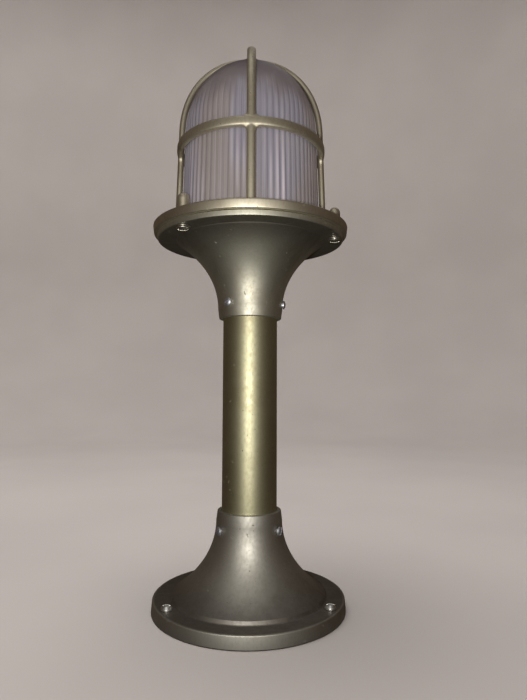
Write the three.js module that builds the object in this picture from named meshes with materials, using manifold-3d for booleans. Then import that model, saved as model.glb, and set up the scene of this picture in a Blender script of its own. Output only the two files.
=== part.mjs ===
// A brass ship's style bollard light: a flared base and a flared head clamped to a post, and on the
// head a ribbed glass under a cast cage, which lifts off to change the lamp.
// Millimetres, +Z up. The origin is the centre of the base's underside; the front is towards -Y.
import * as THREE from 'three';
import { mergeVertices } from 'three/addons/utils/BufferGeometryUtils.js';
import Module from 'manifold-3d';

const wasm = await Module();
wasm.setup();

// ---------- driving dimensions ----------
const GAP = 0.3; // clearance between pieces that touch
const TOTAL_HEIGHT = 491;

const TUBE_RADIUS = 24;
const TUBE_WALL = 2;
const SOCKET_DEPTH = 36; // length of tube held in each casting

const FLANGE_RADIUS = 83; // both castings
const STEP_RADIUS = 65.6; // where the flare meets its flange
const COLLAR_RADIUS = 28.7;
const COLLAR_LENGTH = 8.5; // straight stretch before the flare starts
const LIP_TAPER = 1.1;
const FLARE_HALF_WIDTH = 113.4; // half axes of the ellipse that the flare follows
const FLARE_HALF_HEIGHT = 81.2;
const FLARE_LENGTH = 68.4; // from the collar's open end to the step
const CASTING_WALL = 5;

const BASE_COLLAR_Z = 81.9;
const BASE_RIM_HEIGHT = 10.2;
const HEAD_COLLAR_Z = 248.6;
const HEAD_FLANGE_UNDERSIDE_Z = 317.8;
const HEAD_FLANGE_TOP_Z = 322;
const SEAT_RADIUS = 65; // recess for the glass and its gaskets
const SEAT_Z = 318.4;
const PLATFORM_Z = 304; // top of the web that carries the lampholder
const PLATFORM_THICKNESS = 4;

const RING_RADIUS = 86.8;
const RING_HEIGHT = 7.5;
const CAGE_RADIUS = 66; // outside of the bars, where they start to bend in
const CAGE_LEAN = 0.03; // how far the bars lean out towards the ring, for each mm down
const BAR_DEPTH = 5.6; // radial
const BAR_WIDTH = 7.6;
const BAR_CHAMFER = 1.7;
const BELT_Z = 400.2;
const BELT_RADIUS = 67;
const BELT_HEIGHT = 8.4;
const DOME_START_Z = 416;
const DOME_EXPONENT = 2.2; // a little squarer than an ellipse
const BOSS_RADIUS = 4.4;
const BOSS_TOP_Z = 345;

const GLASS_RADIUS = 60;
const GUARD_BORE = GLASS_RADIUS + 1; // of the guard's ring, and of the gasket under it
const GLASS_WALL = 3;
const GLASS_LIP = 4;
const GASKET = 1.5;
const GLASS_TO_CAGE = 1.2; // free height between the glass and the crown of the cage

const GLAND_HOLE = 6.2;
const GLAND_BORE = 3.6; // the cable's passage
const BRACKET_SCREW_X = [-30, 30];
const BRACKET_SHEET = 1.5;
const EARTH_SCREW = new THREE.Vector3(-33, -18, PLATFORM_Z);
const HOLDER_Z = 311.5; // underside of the lampholder, on its bracket
const HOLDER_RADIUS = 20;
const HOLDER_HEIGHT = 40;
const HOLDER_WELL = 12; // depth of solid porcelain under the sleeve
const CONTACT_RECESS = 5;
const SLEEVE_RADIUS = 14.3;
const CAP_RADIUS = 13.1;
const NECK_HEIGHT = 30; // lamp housing, from its cap to its globe
const GLOBE_HEIGHT = 38;
const GLOBE_RADIUS = 29.5;

const FLANGE_SCREW_CIRCLE = 74.4;
const GUARD_SCREW_CIRCLE = 76;
const BASE_SCREW_ANGLES = [-62, 62, 180]; // degrees from the front, towards +X
const GUARD_SCREW_ANGLES = [-46, 74, 194];
const LOWER_SET_SCREW_ANGLES = [-58, 58, 180];
const UPPER_SET_SCREW_ANGLES = [-40, 80, 200];
const LOWER_SET_SCREW_Z = 67;
const UPPER_SET_SCREW_Z = 261;
const baseScrew = { head: 4.2, height: 2.6, shank: 2.9, length: BASE_RIM_HEIGHT - 0.5, slot: 1.4 };
const guardScrew = { head: 4.6, height: 3, shank: 2.4, length: 22, slot: 1.4 };
const setScrew = { head: 3.3, height: 2.4, shank: 2.5, crown: 0.9 };
const bracketScrew = { head: 3.4, height: 2.2, shank: 1.6, length: 5.5, slot: 0.9 };
const earthScrew = { head: 3.4, height: 2.6, shank: 1.6, length: 3.6, slot: 0.9 };
const WASHER_RADIUS = 5.4;
const WASHER_HEIGHT = 0.8;

const ROUND = 36; // sides of a large turned shape
const FINE = 12; // sides of a small one

// ---------- finishes ----------
const finish = (color, roughness, metalness) =>
  new THREE.MeshStandardMaterial({ color, roughness, metalness });
const agedBrass = finish(0x6f6348, 0.45, 1);
const postBrass = finish(0x8f8247, 0.35, 1);
const castBrass = finish(0x8c7c55, 0.4, 1);
const brightSteel = finish(0xc4c6c8, 0.3, 1);
const frostedGlass = finish(0xb9b2bd, 0.4, 0);
const rubber = finish(0x1d1d1d, 0.8, 0);
const porcelain = finish(0xe9e6de, 0.35, 0);
const platedBrass = finish(0xbfb9a6, 0.3, 1);
const opalPlastic = finish(0xf3f1ea, 0.4, 0);
const nylon = finish(0x2b2b2d, 0.55, 0);
const brownSleeve = finish(0x5a3521, 0.6, 0);
const blueSleeve = finish(0x28548f, 0.6, 0);
const earthSleeve = finish(0x6f8f2a, 0.6, 0);

// ---------- solids ----------
// A geometry as a solid that can be joined and cut.
function solidOf(geometry) {
  geometry.deleteAttribute('normal');
  geometry.deleteAttribute('uv');
  const merged = mergeVertices(geometry, 1e-3);
  return new wasm.Manifold(new wasm.Mesh({
    numProp: 3,
    vertProperties: merged.getAttribute('position').array,
    triVerts: new Uint32Array(merged.index.array),
  }));
}

// A solid turned about +Z. A profile off the axis is closed on itself.
function turned(profile, sides = FINE) {
  const points = profile.map(([radius, z]) => new THREE.Vector2(radius, z));
  if (profile[0][0] > 0) {
    points.push(points[0].clone());
  }
  return solidOf(new THREE.LatheGeometry(points, sides).rotateX(Math.PI / 2));
}

function disc(radius, zLow, zHigh, sides = FINE) {
  return turned([[0, zLow], [radius, zLow], [radius, zHigh], [0, zHigh]], sides);
}

function ring(inner, outer, zLow, zHigh, sides = ROUND) {
  return turned([[inner, zLow], [outer, zLow], [outer, zHigh], [inner, zHigh]], sides);
}

function block(width, depth, height, x, y, z) {
  return solidOf(new THREE.BoxGeometry(width, depth, height).translate(x, y, z));
}

// A point on a circle about the post's axis, its angle counted from the front towards +X.
function polar(radius, degrees, z = 0) {
  const angle = THREE.MathUtils.degToRad(degrees);
  return new THREE.Vector3(radius * Math.sin(angle), -radius * Math.cos(angle), z);
}

// A slotted screw: head above z = 0, shank below it.
function screw({ head, height, shank, length, slot = 1.1, crown = 0.5 }) {
  const slotDepth = 0.6;
  const body = turned([
    [0, -length],
    [shank, -length],
    [shank, 0],
    [head, 0],
    [head, height - crown],
    [head - crown * 1.4, height],
    [0, height],
  ]);
  return body.subtract(block(2 * head + 1, slot, 2 * slotDepth, 0, 0, height));
}

const model = new THREE.Group();

function add(parent, name, solid, material, position = new THREE.Vector3()) {
  const { vertProperties, triVerts } = solid.getMesh();
  const geometry = new THREE.BufferGeometry();
  geometry.setAttribute('position', new THREE.BufferAttribute(vertProperties, 3));
  geometry.setIndex(new THREE.BufferAttribute(triVerts, 1));
  const mesh = new THREE.Mesh(geometry, material);
  mesh.name = name;
  mesh.position.copy(position);
  parent.add(mesh);
  return mesh;
}

function assembly(parent = model) {
  const group = new THREE.Group();
  parent.add(group);
  return group;
}

// ---------- flared castings ----------
// Outside radius of a casting at a distance from its collar's open end.
function flareRadius(distance) {
  const rise = Math.max(0, distance - COLLAR_LENGTH) / FLARE_HALF_HEIGHT;
  return COLLAR_RADIUS + FLARE_HALF_WIDTH * (1 - Math.sqrt(1 - rise * rise));
}

// [radius, distance] pairs along the flare, from one distance to another.
function flare(from, to, steps, inset = 0) {
  return Array.from({ length: steps + 1 }, (_, i) => {
    const distance = THREE.MathUtils.lerp(from, to, i / steps);
    return [flareRadius(distance) - inset, distance];
  });
}

const BORE_RADIUS = TUBE_RADIUS + GAP;
const STOP_RADIUS = TUBE_RADIUS - 4; // the ledge that the tube's end stops on
const STOP_THICKNESS = 4;

// Collar, lip and flare from the open end outwards, shared by the two castings.
const outerFlare = [
  [BORE_RADIUS, 0],
  [COLLAR_RADIUS - LIP_TAPER - 1, 0],
  [COLLAR_RADIUS - LIP_TAPER, 1],
  ...flare(COLLAR_LENGTH, FLARE_LENGTH, 8),
];

// Radial holes for the set screws that pinch the tube.
function radialHoles(angles, z) {
  const radius = setScrew.shank + GAP;
  return angles.map((angle) => {
    const hole = new THREE.CylinderGeometry(radius, radius, 16, FINE);
    const at = polar(BORE_RADIUS + 4, angle, z);
    hole.rotateZ(THREE.MathUtils.degToRad(angle)).translate(at.x, at.y, at.z);
    return solidOf(hole);
  });
}

// Upright holes for a ring of screws.
function uprightHoles({ shank }, circle, angles, zLow, zHigh) {
  return angles.map((angle) => {
    const at = polar(circle, angle);
    return disc(shank + GAP, zLow, zHigh).translate(at.x, at.y, 0);
  });
}

function drilled(solid, holes) {
  return holes.reduce((left, hole) => left.subtract(hole), solid);
}

function baseCasting() {
  const fromCollar = ([radius, distance]) => [radius, BASE_COLLAR_Z - distance];
  const stopTop = BASE_COLLAR_Z - SOCKET_DEPTH;
  const stopUnderside = SOCKET_DEPTH + STOP_THICKNESS;
  const innerRadius = STEP_RADIUS - CASTING_WALL;
  const profile = [
    [innerRadius, 0],
    [FLANGE_RADIUS - 0.8, 0],
    [FLANGE_RADIUS, 0.8],
    [FLANGE_RADIUS, BASE_RIM_HEIGHT - 1],
    [FLANGE_RADIUS - 1, BASE_RIM_HEIGHT],
    [STEP_RADIUS + 0.8, BASE_RIM_HEIGHT],
    ...outerFlare.map(fromCollar).reverse(),
    [BORE_RADIUS, stopTop],
    [STOP_RADIUS, stopTop],
    [STOP_RADIUS, stopTop - STOP_THICKNESS],
    ...flare(stopUnderside, FLARE_LENGTH, 6, CASTING_WALL).map(fromCollar),
  ];
  return drilled(turned(profile, ROUND), [
    ...uprightHoles(baseScrew, FLANGE_SCREW_CIRCLE, BASE_SCREW_ANGLES, -1, BASE_RIM_HEIGHT + 1),
    ...radialHoles(LOWER_SET_SCREW_ANGLES, LOWER_SET_SCREW_Z),
  ]);
}

function headCasting() {
  const fromCollar = ([radius, distance]) => [radius, HEAD_COLLAR_Z + distance];
  const stopZ = HEAD_COLLAR_Z + SOCKET_DEPTH;
  const platformDistance = PLATFORM_Z - HEAD_COLLAR_Z;
  const seatDistance = SEAT_Z - 6 - HEAD_COLLAR_Z;
  const webUnderside = PLATFORM_Z - PLATFORM_THICKNESS;
  const profile = [
    ...outerFlare.map(fromCollar),
    [STEP_RADIUS + 0.6, HEAD_FLANGE_UNDERSIDE_Z],
    [FLANGE_RADIUS - 0.6, HEAD_FLANGE_UNDERSIDE_Z],
    [FLANGE_RADIUS, HEAD_FLANGE_UNDERSIDE_Z + 0.6],
    [FLANGE_RADIUS, HEAD_FLANGE_TOP_Z],
    [SEAT_RADIUS, HEAD_FLANGE_TOP_Z],
    [SEAT_RADIUS, SEAT_Z],
    [GLASS_RADIUS - CASTING_WALL, SEAT_Z],
    ...flare(platformDistance, seatDistance, 3, CASTING_WALL).map(fromCollar).reverse(),
    [GLAND_HOLE, PLATFORM_Z],
    [GLAND_HOLE, webUnderside],
    [flareRadius(webUnderside - HEAD_COLLAR_Z) - CASTING_WALL, webUnderside],
    [STOP_RADIUS + 9, stopZ + STOP_THICKNESS],
    [STOP_RADIUS, stopZ + STOP_THICKNESS],
    [STOP_RADIUS, stopZ],
    [BORE_RADIUS, stopZ],
  ];
  const threads = [
    ...BRACKET_SCREW_X.map((x) => new THREE.Vector3(x, 0, 0)),
    EARTH_SCREW,
  ].map((at) => disc(bracketScrew.shank + GAP, webUnderside - 1, PLATFORM_Z + 1).translate(at.x, at.y, 0));
  return drilled(turned(profile, ROUND), [
    ...uprightHoles(guardScrew, GUARD_SCREW_CIRCLE, GUARD_SCREW_ANGLES, SEAT_Z - 8, HEAD_FLANGE_TOP_Z + 1),
    ...radialHoles(UPPER_SET_SCREW_ANGLES, UPPER_SET_SCREW_Z),
    ...threads,
  ]);
}

// ---------- lamp compartment ----------
function hexagon(acrossFlats, hole, zLow, zHigh) {
  const outer = acrossFlats / Math.sqrt(3);
  return disc(outer, zLow, zHigh, 6).subtract(disc(hole, zLow - 1, zHigh + 1));
}

function lead(points, radius = 1.2) {
  const section = new THREE.Shape().absarc(0, 0, radius, 0, 2 * Math.PI);
  const route = new THREE.CatmullRomCurve3(points.map((p) => new THREE.Vector3(...p)));
  return solidOf(new THREE.ExtrudeGeometry(section, { steps: 8, curveSegments: 3, extrudePath: route }));
}

function addLampholder(parent) {
  const deck = HOLDER_Z - GAP;
  const foot = PLATFORM_Z + GAP;
  const width = 16;
  const rightHalf = [
    [22.5, deck - BRACKET_SHEET],
    [22.5, foot],
    [36, foot],
    [36, foot + BRACKET_SHEET],
    [24, foot + BRACKET_SHEET],
    [24, deck],
  ];
  const leftHalf = rightHalf.map(([x, z]) => [-x, z]).reverse();
  const hat = new THREE.Shape([...rightHalf, ...leftHalf].map(([x, z]) => new THREE.Vector2(x, z)));
  const strip = new THREE.ExtrudeGeometry(hat, { depth: width, bevelEnabled: false })
    .rotateX(Math.PI / 2).translate(0, width / 2, 0);
  const holes = BRACKET_SCREW_X.map((x) => (
    disc(bracketScrew.shank + 2 * GAP, PLATFORM_Z, foot + 2 * BRACKET_SHEET).translate(x, 0, 0)
  ));
  add(parent, 'lampholder_bracket', drilled(solidOf(strip), holes), brightSteel);
  BRACKET_SCREW_X.forEach((x, i) => {
    const seat = new THREE.Vector3(x, 0, foot + BRACKET_SHEET + GAP);
    add(parent, `bracket_screw_${i + 1}`, screw(bracketScrew), brightSteel, seat);
  });

  const top = HOLDER_Z + HOLDER_HEIGHT;
  const well = HOLDER_Z + HOLDER_WELL;
  const body = turned([
    [0, HOLDER_Z],
    [HOLDER_RADIUS - 1.5, HOLDER_Z],
    [HOLDER_RADIUS, HOLDER_Z + 1.5],
    [HOLDER_RADIUS, top - 6],
    [HOLDER_RADIUS - 2, top],
    [SLEEVE_RADIUS + GAP, top],
    [SLEEVE_RADIUS + GAP, well],
    [6, well],
    [6, well - CONTACT_RECESS],
    [0, well - CONTACT_RECESS],
  ], 20);
  add(parent, 'lampholder_body', body, porcelain);
  const sleeve = ring(CAP_RADIUS + GAP, SLEEVE_RADIUS, well + GAP, top - 4, 20);
  add(parent, 'lampholder_sleeve', sleeve, platedBrass);
  add(parent, 'lampholder_contact', disc(4, well - CONTACT_RECESS + GAP, well - 1), platedBrass);
}

function addWiring(parent) {
  const blockHeight = 10;
  const blockTop = PLATFORM_Z + GAP + blockHeight;
  const wells = [-6, 6].map((x) => disc(2, blockTop - 3, blockTop + 1).translate(x, -28, 0));
  const body = block(20, 14, blockHeight, 0, -31, blockTop - blockHeight / 2);
  add(parent, 'terminal_block', drilled(body, wells), porcelain);
  const rise = HOLDER_Z + 14;
  const route = (side) => [
    [side * 6, -33.5, blockTop + 2 * GAP],
    [side * 6, -33.7, rise - 7],
    [side * 5.6, -29, rise - 1],
    [side * 5, -HOLDER_RADIUS - 0.5, rise],
  ];
  add(parent, 'live_lead', lead(route(-1)), brownSleeve);
  add(parent, 'neutral_lead', lead(route(1)), blueSleeve);
  add(parent, 'earth_lead', lead([
    [-10.4, -31, PLATFORM_Z + 5],
    [-16, -31.5, PLATFORM_Z + 4.6],
    [-24, -29, PLATFORM_Z + 3],
    [-30.4, -22.4, PLATFORM_Z + 1.8],
  ]), earthSleeve);
  add(parent, 'earth_screw', screw(earthScrew), platedBrass, EARTH_SCREW.clone().setZ(PLATFORM_Z + GAP));
}

function addCableGland(parent) {
  const web = PLATFORM_Z - PLATFORM_THICKNESS;
  const thread = GLAND_HOLE - GAP;
  const capRadius = 8.4;
  const body = hexagon(18, GLAND_BORE, web - 6, web - GAP)
    .add(ring(GLAND_BORE, thread, web - 1, PLATFORM_Z + 5, FINE))
    .add(ring(5, thread, web - 14, web - 5, FINE));
  add(parent, 'cable_gland_body', body, nylon);
  add(parent, 'cable_gland_lock_nut', hexagon(16, GLAND_HOLE, PLATFORM_Z + GAP, PLATFORM_Z + 3.3), nylon);
  add(parent, 'cable_gland_seal', ring(GLAND_BORE, 4.7, web - 15, web - 7, FINE), rubber);
  const cap = hexagon(17, GLAND_HOLE, web - 14, web - 6.3)
    .add(ring(4.4, capRadius, web - 18, web - 15.3, FINE))
    .add(ring(GLAND_HOLE, capRadius, web - 15.4, web - 13.9, FINE));
  add(parent, 'cable_gland_cap_nut', cap, nylon);
}

// The screw-in lamp. Its neck sits in the sleeve, its tip on the contact.
function addBulb(parent) {
  const tipZ = HOLDER_Z + HOLDER_WELL - 1 + GAP;
  const capZ = tipZ + 4;
  const capTop = HOLDER_Z + HOLDER_HEIGHT + 1;
  const neckTop = capTop + NECK_HEIGHT;
  const tip = turned([
    [0, tipZ],
    [3, tipZ],
    [4, tipZ + 0.8],
    [8.4, capZ - GAP],
    [0, capZ - GAP],
  ]);
  add(parent, 'bulb_tip', tip, nylon);
  add(parent, 'bulb_cap', disc(CAP_RADIUS, capZ, capTop, 20), platedBrass);
  const housing = turned([
    [0, capTop + GAP],
    [13.6, capTop + GAP],
    [15, capTop + 6],
    [22, capTop + 18],
    [GLOBE_RADIUS - 1.5, neckTop],
    [0, neckTop],
  ], 24);
  add(parent, 'bulb_housing', housing, opalPlastic);
  const steps = 8;
  const startAngle = -0.3; // the globe starts a little under its widest circle
  const rise = GLOBE_HEIGHT / (1 - Math.sin(startAngle));
  const globe = Array.from({ length: steps + 1 }, (_, i) => {
    const angle = THREE.MathUtils.lerp(startAngle, Math.PI / 2, i / steps);
    const across = i === steps ? 0 : GLOBE_RADIUS * Math.cos(angle);
    return [across, neckTop + GAP + rise * (Math.sin(angle) - Math.sin(startAngle))];
  });
  add(parent, 'bulb_globe', turned([[0, neckTop + GAP], ...globe], 24), opalPlastic);
}

// ---------- glass and guard ----------
// [radius, z] pairs over a dome, from its spring line to its crown.
function dome(radius, crown, steps) {
  const power = 2 / DOME_EXPONENT;
  const rise = crown - DOME_START_Z;
  return Array.from({ length: steps + 1 }, (_, i) => {
    const angle = (Math.PI / 2) * (i / steps);
    const across = i === steps ? 0 : Math.cos(angle) ** power;
    return [radius * across, DOME_START_Z + rise * Math.sin(angle) ** power];
  });
}

const LIP_RADIUS = SEAT_RADIUS - 0.4;
const LIP_Z = SEAT_Z + GASKET + 2 * GAP;
const LIP_TOP_Z = LIP_Z + GLASS_LIP;
const UPPER_GASKET_TOP_Z = LIP_TOP_Z + GASKET + GAP;
const GLASS_CROWN_Z = TOTAL_HEIGHT - BAR_DEPTH - GLASS_TO_CAGE;

function glassDome() {
  const inner = dome(GLASS_RADIUS - GLASS_WALL, GLASS_CROWN_Z - GLASS_WALL, 10).reverse();
  return turned([
    ...inner,
    [GLASS_RADIUS - GLASS_WALL, LIP_Z],
    [LIP_RADIUS, LIP_Z],
    [LIP_RADIUS, LIP_TOP_Z],
    [GLASS_RADIUS, LIP_TOP_Z],
    ...dome(GLASS_RADIUS, GLASS_CROWN_Z, 10),
  ], ROUND);
}

// One cage bar: up from the ring, over the crown and down the other side, in the XZ plane.
function hoop() {
  const foot = HEAD_FLANGE_TOP_Z + GAP + RING_HEIGHT - 2;
  const lean = CAGE_LEAN * (DOME_START_Z - foot);
  const half = (radius, crown) => [[radius + lean, foot], ...dome(radius, crown, 11)];
  const mirrored = (points) => points.slice(0, -1).reverse().map(([x, z]) => [-x, z]);
  const outer = half(CAGE_RADIUS, TOTAL_HEIGHT);
  const inner = half(CAGE_RADIUS - BAR_DEPTH, TOTAL_HEIGHT - BAR_DEPTH);
  const outline = [...outer, ...mirrored(outer), ...[...inner, ...mirrored(inner)].reverse()];
  const shape = new THREE.Shape(outline.map(([x, z]) => new THREE.Vector2(x, z)));
  const bar = new THREE.ExtrudeGeometry(shape, {
    depth: BAR_WIDTH - 2 * BAR_CHAMFER,
    bevelThickness: BAR_CHAMFER,
    bevelSize: BAR_CHAMFER,
    bevelOffset: -BAR_CHAMFER,
    bevelSegments: 1,
  });
  return bar.rotateX(Math.PI / 2).translate(0, BAR_WIDTH / 2 - BAR_CHAMFER, 0);
}

function guardCasting() {
  const bottom = HEAD_FLANGE_TOP_Z + GAP;
  const top = bottom + RING_HEIGHT;
  const shoulder = UPPER_GASKET_TOP_Z + GAP;
  const rim = turned([
    [SEAT_RADIUS, bottom],
    [RING_RADIUS - 0.8, bottom],
    [RING_RADIUS, bottom + 0.8],
    [RING_RADIUS, top - 1.6],
    [RING_RADIUS - 1.6, top],
    [GUARD_BORE, top],
    [GUARD_BORE, shoulder],
    [SEAT_RADIUS, shoulder],
  ], ROUND);
  const half = BELT_HEIGHT / 2;
  const beltInside = BELT_RADIUS - BAR_DEPTH;
  const beltSection = [
    [beltInside, -half + BAR_CHAMFER],
    [beltInside + BAR_CHAMFER, -half],
    [BELT_RADIUS - BAR_CHAMFER, -half],
    [BELT_RADIUS, -half + BAR_CHAMFER],
    [BELT_RADIUS, half - BAR_CHAMFER],
    [BELT_RADIUS - BAR_CHAMFER, half],
    [beltInside + BAR_CHAMFER, half],
    [beltInside, half - BAR_CHAMFER],
  ];
  const belt = turned(beltSection, ROUND).translate(0, 0, BELT_Z);
  const shoulderZ = BOSS_TOP_Z - BOSS_RADIUS;
  const bosses = GUARD_SCREW_ANGLES.map((angle) => {
    const at = polar(GUARD_SCREW_CIRCLE, angle);
    const boss = turned([
      [0, top - 2],
      [BOSS_RADIUS, top - 2],
      [BOSS_RADIUS, shoulderZ],
      [BOSS_RADIUS * 0.87, shoulderZ + BOSS_RADIUS * 0.5],
      [BOSS_RADIUS * 0.5, shoulderZ + BOSS_RADIUS * 0.87],
      [0, BOSS_TOP_Z],
    ]);
    return boss.translate(at.x, at.y, 0);
  });
  const whole = [solidOf(hoop()), solidOf(hoop().rotateZ(Math.PI / 2)), belt, ...bosses]
    .reduce((left, right) => left.add(right), rim);
  const threadTop = BOSS_TOP_Z - BOSS_RADIUS;
  const threads = uprightHoles(guardScrew, GUARD_SCREW_CIRCLE, GUARD_SCREW_ANGLES, bottom - 1, threadTop);
  return drilled(whole, threads);
}

// ---------- put together ----------
// Copies of one piece on a circle about the post's axis.
function addRow(parent, name, solid, material, circle, angles, z) {
  angles.forEach((angle, i) => {
    const mesh = add(parent, `${name}_${i + 1}`, solid, material, polar(circle, angle, z));
    mesh.rotateZ(THREE.MathUtils.degToRad(angle));
  });
}

// Set screws point at the post's axis: the head faces outwards, clear of the flare beside it.
function addSetScrews(parent, name, angles, z, collarZ) {
  const seat = flareRadius(Math.abs(z - collarZ) + setScrew.head) + GAP;
  const solid = screw({ ...setScrew, length: seat - TUBE_RADIUS - GAP });
  angles.forEach((angle, i) => {
    const mesh = add(parent, `${name}_${i + 1}`, solid, brightSteel, polar(seat, angle, z));
    mesh.rotation.set(Math.PI / 2, 0, THREE.MathUtils.degToRad(angle), 'ZXY');
  });
}

const post = assembly();
add(post, 'base_casting', baseCasting(), agedBrass);
const baseScrewZ = BASE_RIM_HEIGHT + GAP;
addRow(post, 'base_screw', screw(baseScrew), agedBrass, FLANGE_SCREW_CIRCLE, BASE_SCREW_ANGLES, baseScrewZ);
addSetScrews(post, 'lower_set_screw', LOWER_SET_SCREW_ANGLES, LOWER_SET_SCREW_Z, BASE_COLLAR_Z);
add(post, 'post_tube', ring(
  TUBE_RADIUS - TUBE_WALL,
  TUBE_RADIUS,
  BASE_COLLAR_Z - SOCKET_DEPTH + GAP,
  HEAD_COLLAR_Z + SOCKET_DEPTH - GAP,
), postBrass);

const head = assembly(post);
add(head, 'head_casting', headCasting(), agedBrass);
addSetScrews(head, 'upper_set_screw', UPPER_SET_SCREW_ANGLES, UPPER_SET_SCREW_Z, HEAD_COLLAR_Z);
add(head, 'lower_glass_gasket', ring(56, LIP_RADIUS, SEAT_Z + GAP, SEAT_Z + GAP + GASKET), rubber);
addLampholder(head);
addWiring(head);
addCableGland(head);

const lamp = assembly(head);
addBulb(lamp);

const glass = assembly(head);
add(glass, 'glass_dome', glassDome(), frostedGlass);
const upperGasket = ring(GUARD_BORE, LIP_RADIUS, LIP_TOP_Z + GAP, UPPER_GASKET_TOP_Z);
add(glass, 'upper_glass_gasket', upperGasket, rubber);

const guard = assembly(glass);
add(guard, 'guard_casting', guardCasting(), castBrass);

const washer = ring(guardScrew.shank + 0.5, WASHER_RADIUS, 0, WASHER_HEIGHT, 16);
const hangingScrew = screw(guardScrew).rotate([180, 0, 0]);
const washerZ = HEAD_FLANGE_UNDERSIDE_Z - GAP - WASHER_HEIGHT;
addRow(head, 'guard_washer', washer, platedBrass, GUARD_SCREW_CIRCLE, GUARD_SCREW_ANGLES, washerZ);
addRow(head, 'guard_screw', hangingScrew, agedBrass, GUARD_SCREW_CIRCLE, GUARD_SCREW_ANGLES, washerZ - GAP);

export default model;
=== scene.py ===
"""A brass bollard light: the finished look of every piece, built around its engineering frame.

Metres, +Z up, the front towards -Y. Pieces take their places from the frame's own solids.
"""

import math

import bmesh
import bpy
from bpy.props import FloatProperty, FloatVectorProperty, IntProperty, PointerProperty
from bpy.types import Operator, Panel, PropertyGroup
from mathutils import Matrix, Vector


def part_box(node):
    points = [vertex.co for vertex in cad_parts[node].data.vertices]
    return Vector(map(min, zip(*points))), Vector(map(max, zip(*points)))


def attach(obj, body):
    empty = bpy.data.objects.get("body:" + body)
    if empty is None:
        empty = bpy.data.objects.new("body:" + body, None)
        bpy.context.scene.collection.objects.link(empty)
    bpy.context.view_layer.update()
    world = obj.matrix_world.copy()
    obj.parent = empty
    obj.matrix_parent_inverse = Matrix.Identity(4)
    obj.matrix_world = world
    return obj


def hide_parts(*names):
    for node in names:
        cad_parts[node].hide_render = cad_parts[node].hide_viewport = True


bl_info = {
    "name": "Bollard Light",
    "version": (1, 0, 0),
    "blender": (4, 5, 0),
    "location": "3D View > Sidebar > Bollard Light",
    "description": "Builds the finished pieces of a brass bollard light around its frame",
    "category": "Object",
}

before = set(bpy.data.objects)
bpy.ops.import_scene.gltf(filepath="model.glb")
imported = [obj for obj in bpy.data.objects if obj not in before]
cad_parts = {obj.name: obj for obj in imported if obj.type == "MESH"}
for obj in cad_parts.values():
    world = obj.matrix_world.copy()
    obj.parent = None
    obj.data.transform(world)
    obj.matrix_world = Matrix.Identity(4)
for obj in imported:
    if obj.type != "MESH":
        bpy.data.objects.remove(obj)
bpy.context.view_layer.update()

MM = 0.001
GAP = 0.3 * MM

BASE_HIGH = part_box("base_casting")[1]
HEAD_LOW, HEAD_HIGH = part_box("head_casting")
TUBE_LOW, TUBE_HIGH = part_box("post_tube")
GUARD_LOW, GUARD_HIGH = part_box("guard_casting")
GLASS_LOW, GLASS_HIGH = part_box("glass_dome")
HOLDER_LOW, HOLDER_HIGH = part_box("lampholder_body")

POST_BORE = TUBE_HIGH.x + GAP  # inside of both collars
LEDGE = 4 * MM  # depth and thickness of the ledges that stop the post
STOP_BORE = -TUBE_LOW.x - LEDGE
PLATFORM_THICKNESS = 4 * MM
BASE_SCREW_SEAT = 2.6 * MM  # the base's rim, down from the top of its screws
GUARD_SCREW_SEAT = 3 * MM  # the washers' undersides, up from the foot of the guard screws

# Linear colours inside the finishes.
SCUFFED_BRASS = (0.72, 0.68, 0.58)
# Painted shade for the castings, under the head's flange and low on the base.
PAINTED_SHADE = (0.15, 0.13, 0.115)
SPECK = (0.07, 0.055, 0.04)
WARM_GLASS = (0.31, 0.275, 0.265)
COOL_GLASS = (0.285, 0.275, 0.33)
SHOULDER_GLASS = (0.225, 0.19, 0.20)
LINED_GLASS = (0.46, 0.42, 0.45)
MILKY_GLASS = (0.42, 0.38, 0.38)
DUSTY_GLASS = (0.34, 0.31, 0.27)


# ---------- sizes and colours a user would change ----------
def size(name, description, millimetres):
    """A length, given here in millimetres and held in metres."""
    return FloatProperty(
        name=name, description=description, default=millimetres * MM, unit="LENGTH", precision=5
    )


def colour(name, description, default):
    """A linear colour."""
    return FloatVectorProperty(
        name=name, description=description, default=default, subtype="COLOR", min=0, max=1
    )


def number(name, description, default):
    """A number without a unit."""
    return FloatProperty(name=name, description=description, default=default)


def angle(name, description, degrees):
    """An angle, given here in degrees and held in radians."""
    return FloatProperty(
        name=name, description=description, default=math.radians(degrees), subtype="ANGLE"
    )


class CastingSizes(PropertyGroup):
    """The flared base and head."""

    collar_radius: size("Collar radius", "Outside of the collar round the post", 28.7)
    collar_length: size("Collar length", "Straight stretch before the flare starts", 8.5)
    lip_taper: size("Lip taper", "How much the collar narrows at its lip", 1.1)
    half_width: size("Flare half width", "Half axis of the flare's ellipse, across", 113.4)
    half_height: size("Flare half height", "Half axis of the flare's ellipse, along", 81.2)
    flare_length: size("Flare length", "From the collar's open end to the step", 68.4)
    step_radius: size("Step radius", "Where the flare meets its flange", 65.6)
    wall: size("Wall", "Thickness of the casting", 5)
    socket: size("Socket", "Length of post held in each casting", 36)
    seat_radius: size("Seat radius", "Recess for the glass in the head", 65)
    seat_z: size("Seat height", "Height of the recess's floor", 318.4)
    draft: size("Rim draft", "How much the flanges' rims lean", 0.45)
    platform_z: size("Platform height", "Top of the web that carries the lampholder", 304)


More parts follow.
